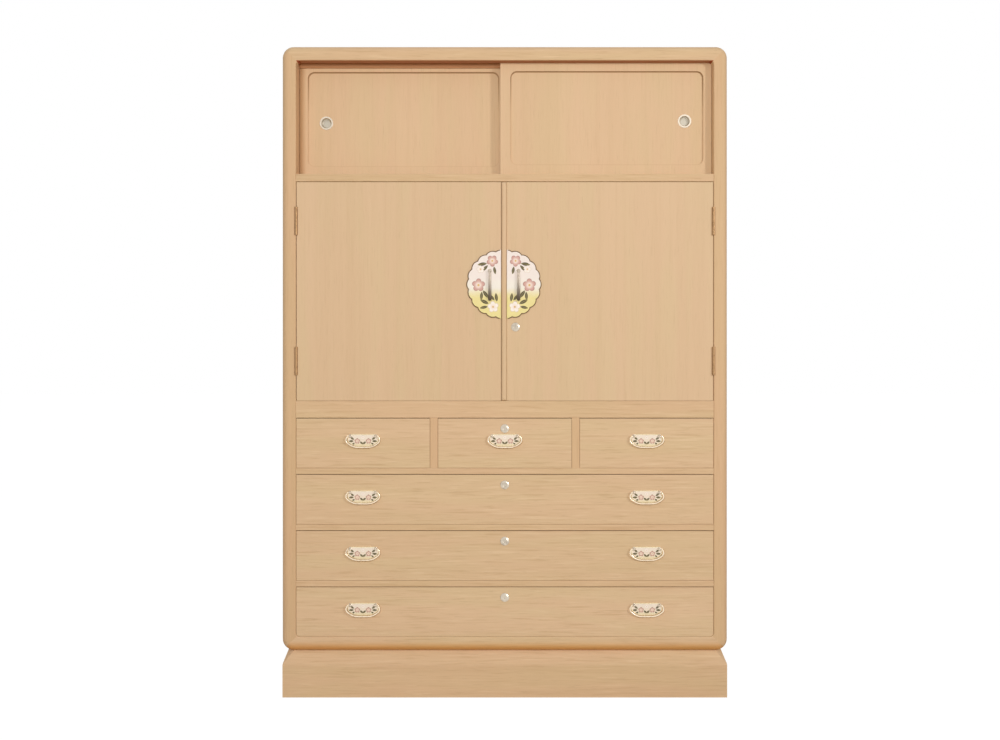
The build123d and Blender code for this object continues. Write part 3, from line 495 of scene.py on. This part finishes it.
enamelPaints = {
    "heart": (246, 228, 214), "stamen": (214, 170, 84), "leafDark": (48, 40, 24), "leafLight": (100, 88, 48),
    "vein": (190, 176, 110), "gold": (206, 160, 70),
}
mauve = {"paint": (210, 162, 150), "edge": (160, 116, 106)}
dusk = {"paint": (206, 160, 140), "edge": (120, 86, 70)}
cream = {"paint": (252, 244, 234), "edge": (214, 186, 160)}
doorArt = {
    "mirrored": True,
    "head": (243, 231, 223), "middle": (244, 237, 225), "foot": (236, 221, 150),
    "fade": (-0.034, -0.004), "drift": 0.014, "cloud": 60.0, "motes": 330.0,
    "paints": enamelPaints,
    "blossoms": [
        {"x": 0.054, "z": -0.002, "size": 0.0160, "turn": 0.35, **mauve},
        {"x": 0.021, "z": 0.056, "size": 0.0140, "turn": 0.90, **mauve},
        {"x": 0.049, "z": 0.036, "size": 0.0095, "turn": 0.10, **cream},
        {"x": 0.019, "z": -0.054, "size": 0.0140, "turn": 0.20, **cream},
    ],
    "leaves": [
        {"x": 0.033, "z": 0.050, "size": 0.024, "slim": 0.36, "turn": -0.15},
        {"x": 0.031, "z": 0.046, "size": 0.022, "slim": 0.34, "turn": -0.80},
        {"x": 0.017, "z": 0.043, "size": 0.020, "slim": 0.36, "turn": -1.75},
        {"x": 0.044, "z": -0.014, "size": 0.024, "slim": 0.36, "turn": -2.20},
        {"x": 0.046, "z": -0.017, "size": 0.022, "slim": 0.34, "turn": -1.50},
        {"x": 0.029, "z": -0.047, "size": 0.024, "slim": 0.36, "turn": 0.45},
        {"x": 0.031, "z": -0.053, "size": 0.021, "slim": 0.34, "turn": -0.20},
        {"x": 0.010, "z": -0.042, "size": 0.022, "slim": 0.36, "turn": 1.45},
        {"x": 0.015, "z": -0.039, "size": 0.020, "slim": 0.34, "turn": 0.85},
    ],
}
drawerArt = {
    "mirrored": True,
    "head": (242, 228, 210), "middle": (240, 224, 202), "foot": (232, 214, 172),
    "fade": (-0.014, -0.004), "drift": 0.006, "cloud": 120.0, "motes": 520.0,
    "paints": enamelPaints,
    "blossoms": [
        {"x": 0.0135, "z": -0.0020, "size": 0.0068, "turn": 0.35, **dusk},
        {"x": 0.0, "z": 0.0060, "size": 0.0046, "turn": 0.31, **cream},
    ],
    "leaves": [
        {"x": 0.0075, "z": -0.0030, "size": 0.0110, "slim": 0.44, "turn": -2.45},
        {"x": 0.0210, "z": 0.0010, "size": 0.0110, "slim": 0.46, "turn": 0.60},
        {"x": 0.0215, "z": -0.0020, "size": 0.0130, "slim": 0.42, "turn": -0.05},
        {"x": 0.0195, "z": -0.0055, "size": 0.0100, "slim": 0.42, "turn": -0.75},
    ],
}
doorEnamel = enamelMaterial("doorEnamel", doorArt)
drawerEnamel = enamelMaterial("drawerEnamel", drawerArt)
print("stage: enamel")


# modelling by hand: pieces are made at the origin, with distances in front of the face as negative Y
def begin(name, add, **settings):
    bpy.ops.object.select_all(action="DESELECT")
    add(**settings)
    piece = bpy.context.object
    piece.name = piece.data.name = name
    bpy.ops.object.transform_apply(location=True, rotation=True, scale=True)
    return piece


def pick(piece, kind, test):  # kind is VERT, EDGE or FACE
    bpy.ops.mesh.select_mode(type=kind)
    bpy.ops.mesh.select_all(action="DESELECT")
    mesh = bmesh.from_edit_mesh(piece.data)
    for part in {"VERT": mesh.verts, "EDGE": mesh.edges, "FACE": mesh.faces}[kind]:
        if test(part):
            part.select_set(True)
    bmesh.update_edit_mesh(piece.data)


mm = 0.001
touching = 0.000001  # metres: corners this close are one, and a corner this close to a plane lies in it


def lies(value, target):
    return abs(value - target) < touching


def tidyMesh(angle=32):  # edges up to this many degrees look smooth
    bpy.ops.mesh.select_all(action="SELECT")
    bpy.ops.mesh.remove_doubles(threshold=touching)
    bpy.ops.mesh.normals_make_consistent(inside=False)
    bpy.ops.object.mode_set(mode="OBJECT")
    bpy.ops.object.shade_smooth_by_angle(angle=math.radians(angle))


def copyTo(piece, name, place):
    bpy.ops.object.select_all(action="DESELECT")
    piece.select_set(True)
    bpy.context.view_layer.objects.active = piece
    bpy.ops.object.duplicate(linked=False)
    made = bpy.context.object
    made.name = made.data.name = name
    bpy.ops.transform.translate(value=place)
    bpy.ops.object.transform_apply(location=True, rotation=False, scale=False)
    return made


def joinAll(parts, name):
    bpy.ops.object.select_all(action="DESELECT")
    for part in parts:
        part.select_set(True)
    bpy.context.view_layer.objects.active = parts[0]
    bpy.ops.object.join()
    parts[0].name = parts[0].data.name = name
    return parts[0]


def turnProfile(name, profile, steps):
    # spins points given as (radius, distance in front of the face) about an axis along the depth
    piece = begin(name, bpy.ops.mesh.primitive_plane_add, size=0.001)
    bpy.ops.object.mode_set(mode="EDIT")
    bpy.ops.mesh.select_all(action="SELECT")
    bpy.ops.mesh.merge(type="CENTER")
    bpy.ops.mesh.select_mode(type="VERT")
    bpy.ops.mesh.select_all(action="SELECT")
    radius, out = profile[0]
    bpy.ops.transform.translate(value=(radius, -out, 0))
    for nextRadius, nextOut in profile[1:]:
        step = {"value": (nextRadius - radius, out - nextOut, 0)}
        bpy.ops.mesh.extrude_vertices_move(TRANSFORM_OT_translate=step)
        radius, out = nextRadius, nextOut
    bpy.ops.mesh.select_all(action="SELECT")
    bpy.ops.mesh.spin(steps=steps, angle=math.tau, center=(0, 0, 0), axis=(0, 1, 0))
    return piece


def inMetres(points):
    return [(radius * mm, out * mm) for radius, out in points]


def roundedEnd(radius, out, rounding, count=6):
    arc = [(radius - rounding * (1 - math.cos(a)), out - rounding * (1 - math.sin(a)))
           for a in (math.pi / 2 * i / count for i in range(count + 1))]
    return arc + [(0, out)]


def cutAway(piece, add, **settings):
    tool = begin("cutter", add, **settings)
    modifier = piece.modifiers.new("cut", "BOOLEAN")
    modifier.object = tool
    modifier.solver = "EXACT"
    bpy.context.view_layer.objects.active = piece
    bpy.ops.object.modifier_apply(modifier=modifier.name)
    bpy.data.objects.remove(tool)


def finishPiece(piece, materials, body, replaced):
    for material in materials:
        piece.data.materials.append(material)
    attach(piece, body)
    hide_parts(replaced)


# plates: a flat outline is pulled forward, its rim rounded over, and the enamel field sunk inside the rim
plate = {"thickness": 0.0024, "rim": 0.0008, "rimWidth": 0.0011, "sunk": 0.0004, "wall": 0.0003,
         "merge": 0.00001}


def thickenPlate(piece):
    bpy.ops.mesh.select_all(action="SELECT")
    bpy.ops.mesh.remove_doubles(threshold=plate["merge"])
    bpy.ops.mesh.extrude_region_move(TRANSFORM_OT_translate={"value": (0, -plate["thickness"], 0)})
    bpy.ops.mesh.select_all(action="SELECT")
    bpy.ops.mesh.normals_make_consistent(inside=False)
    front = -plate["thickness"]
    pick(piece, "EDGE", lambda edge: all(lies(v.co.y, front) for v in edge.verts))
    bpy.ops.mesh.bevel(offset=plate["rim"], segments=3, profile=0.5, affect="EDGES")
    pick(piece, "FACE", lambda face: lies(face.calc_center_median().y, front))
    bpy.ops.mesh.inset(thickness=plate["rimWidth"], depth=0)
    bpy.ops.mesh.inset(thickness=plate["wall"], depth=-plate["sunk"])


def mapField(piece, plainEdge=0.0):
    # the enamel is the sunk face and what lies within plainEdge of X = 0, the straight edge of a half plate;
    # its map is in metres from the plate's middle
    field = plate["sunk"] - plate["thickness"]
    layer = piece.data.uv_layers.new(name="plateMap")
    for face in piece.data.polygons:
        sunk = abs(face.center.y - field) < plate["merge"]
        face.material_index = 1 if sunk or abs(face.center.x) < plainEdge else 0
        for loop in face.loop_indices:
            corner = piece.data.vertices[piece.data.loops[loop].vertex_index].co
            layer.data[loop].uv = (corner.x, corner.z)


# shanks and nuts of the posts and the studs
shank = {"radius": 0.0016, "seat": 0.0018, "behind": -0.020, "edge": 0.0004, "tip": 0.0006}
nut = {"radius": 0.0044, "height": 0.0026, "face": 0.86, "chamfer": 0.15, "sides": 6, "smooth": 20}


def shankProfile():
    end = shank["behind"] - nut["height"]
    radius = shank["radius"]
    return [(0, end - shank["tip"]), (radius, end - shank["edge"]), (radius, shank["seat"])]


def makeNut():
    front, height, radius = shank["behind"], nut["height"], nut["radius"]
    face, chamfer = nut["face"] * radius, nut["chamfer"] * height
    profile = [(0, front), (face, front), (radius, front - chamfer), (radius, front - height + chamfer),
               (face, front - height), (0, front - height)]
    piece = turnProfile("nut", profile, nut["sides"])
    tidyMesh(nut["smooth"])
    return piece


# handles of the drawers
handle = {
    # corners of the outline in millimetres, how much bevel each gets, and its steps
    "corners": [(-31.8, 14.2, 2.4, 4), (-41.3, -0.8, 10.5, 12), (-21.8, -15.5, 11.9, 8)],
    # the post's collar in millimetres
    "collar": [(4.2, 1.8), (4.2, 3.0), (3.8, 3.4), (3.1, 3.6), (2.8, 4.0)],
    "postX": 0.0303, "postZ": 0.0098, "postRadius": 0.0028, "postEnd": 0.0084, "rounding": 0.0025,
    "postSteps": 32, "pintle": 0.00116, "drill": 0.012, "pivotOut": 0.0056,  # the drill is the bore's length
    "bailEye": 0.0023,  # from a bail's axis to its top
}


def makeHandlePlate():
    left = handle["corners"]
    outline = left + [(-x, z, cut, steps) for x, z, cut, steps in reversed(left)]
    piece = begin("handlePlate", bpy.ops.mesh.primitive_circle_add, vertices=len(outline),
                  radius=handle["postX"], fill_type="NGON", rotation=(math.pi / 2, 0, 0))
    bpy.ops.object.mode_set(mode="EDIT")
    mesh = bmesh.from_edit_mesh(piece.data)
    for vertex, (x, z, cut, steps) in zip(mesh.verts, outline):
        vertex.co = (x * mm, 0, z * mm)
    bmesh.update_edit_mesh(piece.data)
    for x, z, cut, steps in left:
        pick(piece, "VERT", lambda vertex: lies(abs(vertex.co.x), -x * mm) and lies(vertex.co.z, z * mm))
        bpy.ops.mesh.bevel(offset=cut * mm, segments=steps, profile=0.5, affect="VERTICES")
    thickenPlate(piece)
    tidyMesh()
    mapField(piece)
    return piece


def makeHandlePost():
    profile = shankProfile() + inMetres(handle["collar"])
    profile += roundedEnd(handle["postRadius"], handle["postEnd"], handle["rounding"])
    post = turnProfile("handlePost", profile, handle["postSteps"])
    tidyMesh()
    cutAway(post, bpy.ops.mesh.primitive_cylinder_add, vertices=20, radius=handle["pintle"],
            depth=handle["drill"], location=(0, -handle["pivotOut"], 0), rotation=(0, math.pi / 2, 0))
    return joinAll([post, makeNut()], "handlePost")


lock = {
    # in millimetres: the sleeve, the flange's rounded edge and its hollow, and the collar round the plug
    "profile": [(4.58, -20.0), (7.5, -20.0), (7.5, 0.0), (10.5, 0.0), (10.8, 0.4), (10.6, 1.0), (9.9, 1.5),
                (8.9, 1.9), (7.9, 2.3), (7.0, 2.9), (6.2, 3.2), (5.0, 3.2), (4.58, 2.9), (4.58, -20.0)],
    "steps": 56, "smooth": 40,
    "plugRadius": 0.0045,  # the plug's cam sticks out to one side of its round front
}


def makeLockCase():
    piece = turnProfile("lockCase", inMetres(lock["profile"]), lock["steps"])
    tidyMesh(lock["smooth"])
    return piece


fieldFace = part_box("left_door")[0].y
handlePlate = makeHandlePlate()
handlePost = makeHandlePost()
lockCase = makeLockCase()
parents = {joint["child"]: joint["parent"] for joint in frame["joints"]}
for name in nodes:
    if name.endswith("_bail"):
        low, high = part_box(name)
        drawer = parents[name]
        fittings = drawer + "_fittings"
        middle = ((low.x + high.x) / 2, fieldFace, high.z - handle["bailEye"] - handle["postZ"])
        made = copyTo(handlePlate, name + "Plate", middle)
        finishPiece(made, [gilt, drawerEnamel], drawer, fittings)
        for side, word in ((-1, "Left"), (1, "Right")):
            place = (middle[0] + side * handle["postX"], fieldFace, middle[2] + handle["postZ"])
            made = copyTo(handlePost, name + "Post" + word, place)
            finishPiece(made, [silver], drawer, fittings)
for name in nodes:
    if name.endswith("_lock_plug"):
        low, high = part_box(name)
        body = parents[name]
        replaced = "door_lock_case" if body == "right_door" else body + "_fittings"
        place = (low.x + lock["plugRadius"], fieldFace, high.z - lock["plugRadius"])
        made = copyTo(lockCase, name + "Case", place)
        finishPiece(made, [silver], body, replaced)
for piece in (handlePlate, handlePost, lockCase):
    bpy.data.objects.remove(piece)
print("stage: drawer handles and locks")


# scalloped plates and studs of the hinged doors
scallop = {
    "reach": 0.083, "count": 20, "lobe": 0.020, "arcSteps": 96, "merge": 0.00002, "smooth": 24,
    "plain": 0.003,  # no corners this close to the straight edge, so that the rim can be inset there
    "rimless": 0.0023,  # how far the enamel reaches over the rim there
    "sharp": 1e-7,  # how close a corner is to a cut before it is moved onto it
}
stud = {
    "collar": [(5.0, 1.8), (5.0, 2.8), (4.4, 3.3), (3.6, 3.4)],  # in millimetres
    "up": 0.032, "radius": 0.0036, "rounding": 0.0034, "steps": 40, "pivotOut": 0.0074,
    "base": 0.0034, "slot": (0.0035, 0.0100, 0.012), "pinRadius": 0.0010, "pinLength": 0.0062,
    "pinEdge": 0.0002,
}


def cutOff(point, outwards):
    bpy.ops.mesh.select_all(action="SELECT")
    bpy.ops.mesh.bisect(plane_co=point, plane_no=outwards, clear_outer=True, threshold=scallop["sharp"])


def makeHalfPlate(name, side, place):
    # one lobe's arc, turned round the plate, filled and cut in half
    middle = scallop["reach"] - scallop["lobe"]
    piece = begin(name, bpy.ops.mesh.primitive_circle_add, vertices=scallop["arcSteps"],
                  radius=scallop["lobe"], location=(middle, 0, 0), rotation=(math.pi / 2, 0, 0))
    bpy.ops.object.mode_set(mode="EDIT")
    half = math.pi / scallop["count"]
    cutOff((0, 0, 0), (-math.sin(half), 0, math.cos(half)))
    cutOff((0, 0, 0), (-math.sin(half), 0, -math.cos(half)))
    cutOff((middle, 0, 0), (-1, 0, 0))
    bpy.ops.mesh.select_all(action="SELECT")
    bpy.ops.mesh.spin(steps=scallop["count"], dupli=True, angle=math.tau, center=(0, 0, 0), axis=(0, 1, 0))
    bpy.ops.mesh.select_all(action="SELECT")
    bpy.ops.mesh.remove_doubles(threshold=scallop["merge"])
    bpy.ops.mesh.select_all(action="SELECT")
    bpy.ops.mesh.edge_face_add()
    cutOff((0, 0, 0), (-side, 0, 0))
    pick(piece, "VERT", lambda vertex: touching < abs(vertex.co.x) < scallop["plain"])
    bpy.ops.mesh.dissolve_verts()
    thickenPlate(piece)
    tidyMesh(scallop["smooth"])
    mapField(piece, scallop["rimless"])
    bpy.ops.transform.translate(value=place)
    bpy.ops.object.transform_apply(location=True, rotation=False, scale=False)
    return piece


def makeStud():
    profile = shankProfile() + inMetres(stud["collar"])
    profile += roundedEnd(stud["radius"], stud["pivotOut"] + stud["radius"], stud["rounding"], 8)
    post = turnProfile("stud", profile, stud["steps"])
    tidyMesh()
    cutAway(post, bpy.ops.mesh.primitive_cube_add, size=1, scale=stud["slot"],
            location=(0, -stud["base"] - stud["slot"][1] / 2, 0))
    pin = begin("studPin", bpy.ops.mesh.primitive_cylinder_add, vertices=20, radius=stud["pinRadius"],
                depth=stud["pinLength"], location=(0, -stud["pivotOut"], 0), rotation=(0, math.pi / 2, 0))
    bpy.ops.object.mode_set(mode="EDIT")
    end = stud["pinLength"] / 2
    pick(pin, "EDGE", lambda edge: all(lies(abs(v.co.x), end) for v in edge.verts))
    bpy.ops.mesh.bevel(offset=stud["pinEdge"], segments=2, affect="EDGES")
    tidyMesh()
    return joinAll([post, pin, makeNut()], "stud")


oneStud = makeStud()
for side, door in ((-1, "left_door"), (1, "right_door")):
    plateNode = door + "_plate"
    low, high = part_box(plateNode)
    straightEdge = high.x if side < 0 else low.x
    middleZ = (low.z + high.z) / 2
    made = makeHalfPlate(door + "HalfPlate", side, (straightEdge, fieldFace, middleZ))
    finishPiece(made, [bronze, doorEnamel], door, plateNode)
    low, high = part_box(door + "_pull")
    made = copyTo(oneStud, door + "Stud", ((low.x + high.x) / 2, fieldFace, middleZ + stud["up"]))
    finishPiece(made, [silver], door, plateNode)
bpy.data.objects.remove(oneStud)
print("stage: door plates")


# the camera looks straight at the front, a little left of the middle
view = {"middle": (-0.0115, 0.7836), "distance": 2.45, "metresPerPixel": 0.0023906, "pixels": 1000,
        "sensor": 36.0, "far": 200.0}
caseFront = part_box("top_board")[0].y
camera = bpy.data.objects.new("camera", bpy.data.cameras.new("camera"))
bpy.context.scene.collection.objects.link(camera)
camera.location = (view["middle"][0], caseFront - view["distance"], view["middle"][1])
camera.rotation_euler = (math.pi / 2, 0, 0)
camera.data.sensor_width = view["sensor"]
camera.data.lens = view["sensor"] * view["distance"] / (view["metresPerPixel"] * view["pixels"])
camera.data.clip_end = view["far"]
bpy.context.scene.camera = camera

studio = {
    "ambient": 0.42,
    "floor": (0.50, 0.40, 0.28, 1), "floorSize": 60.0,
    # where it is seen, the floor is white: the share of its look that comes from the light on it, and how
    # much of that share its own glow loses
    "floorShade": 0.16, "glowLoss": 0.4,
    "lamps": {
        "key": {"place": (-0.5, -3.4, 1.6), "target": (0.0, 0.0, 0.9), "size": 1.3, "power": 50.5,
                "glints": False},
        "side": {"place": (2.7, -3.0, 1.8), "target": (0.0, 0.0, 0.9), "size": 0.45, "power": 39.0,
                 "glints": True},
    },
}


def seenDirectly(flow):  # by the camera, or in gloss or glass
    path = flow.node("ShaderNodeLightPath")
    sockets = path.socket.node.outputs
    seen = Flow(flow.tree, sockets["Is Camera Ray"])
    for name in ("Is Glossy Ray", "Is Transmission Ray"):
        seen = seen.most(Flow(flow.tree, sockets[name]))
    return seen


def addFloor():
    bpy.ops.object.select_all(action="DESELECT")
    bpy.ops.mesh.primitive_plane_add(size=studio["floorSize"])
    floor = bpy.context.object
    floor.name = "floor"
    made, flow = newMaterial("floorPaper")
    seen = seenDirectly(flow)
    plain = flow.node("ShaderNodeBsdfDiffuse", {"Color": studio["floor"]})
    share = studio["floorShade"]
    lit = flow.node("ShaderNodeBsdfDiffuse", {"Color": (share, share, share, 1)})
    glow = flow.node("ShaderNodeEmission", {"Strength": 1.0 - share * studio["glowLoss"]})
    white = flow.node("ShaderNodeAddShader", {0: lit, 1: glow})
    mixed = flow.node("ShaderNodeMixShader", {0: seen, 1: plain, 2: white})
    flow.node("ShaderNodeOutputMaterial", {"Surface": mixed})
    floor.data.materials.append(made)


def setWorld():
    world = bpy.data.worlds.new("room")
    bpy.context.scene.world = world
    world.use_nodes = True
    world.node_tree.nodes.clear()
    flow = Flow(world.node_tree)
    ambient = studio["ambient"]
    strength = ambient + seenDirectly(flow) * (1.0 - ambient)
    back = flow.node("ShaderNodeBackground", {"Color": (1, 1, 1, 1), "Strength": strength})
    flow.node("ShaderNodeOutputWorld", {"Surface": back})


def addLamp(name, lamp):
    light = bpy.data.lights.new(name, "AREA")
    light.size = lamp["size"]
    light.energy = lamp["power"]
    made = bpy.data.objects.new(name, light)
    made.location = lamp["place"]
    aim = Vector(lamp["target"]) - Vector(lamp["place"])
    made.rotation_euler = aim.to_track_quat("-Z", "Y").to_euler()
    made.visible_glossy = lamp["glints"]
    bpy.context.scene.collection.objects.link(made)


addFloor()
setWorld()
for name, lamp in studio["lamps"].items():
    addLamp(name, lamp)
bpy.context.scene.view_settings.view_transform = "Standard"
print("stage: camera and light")
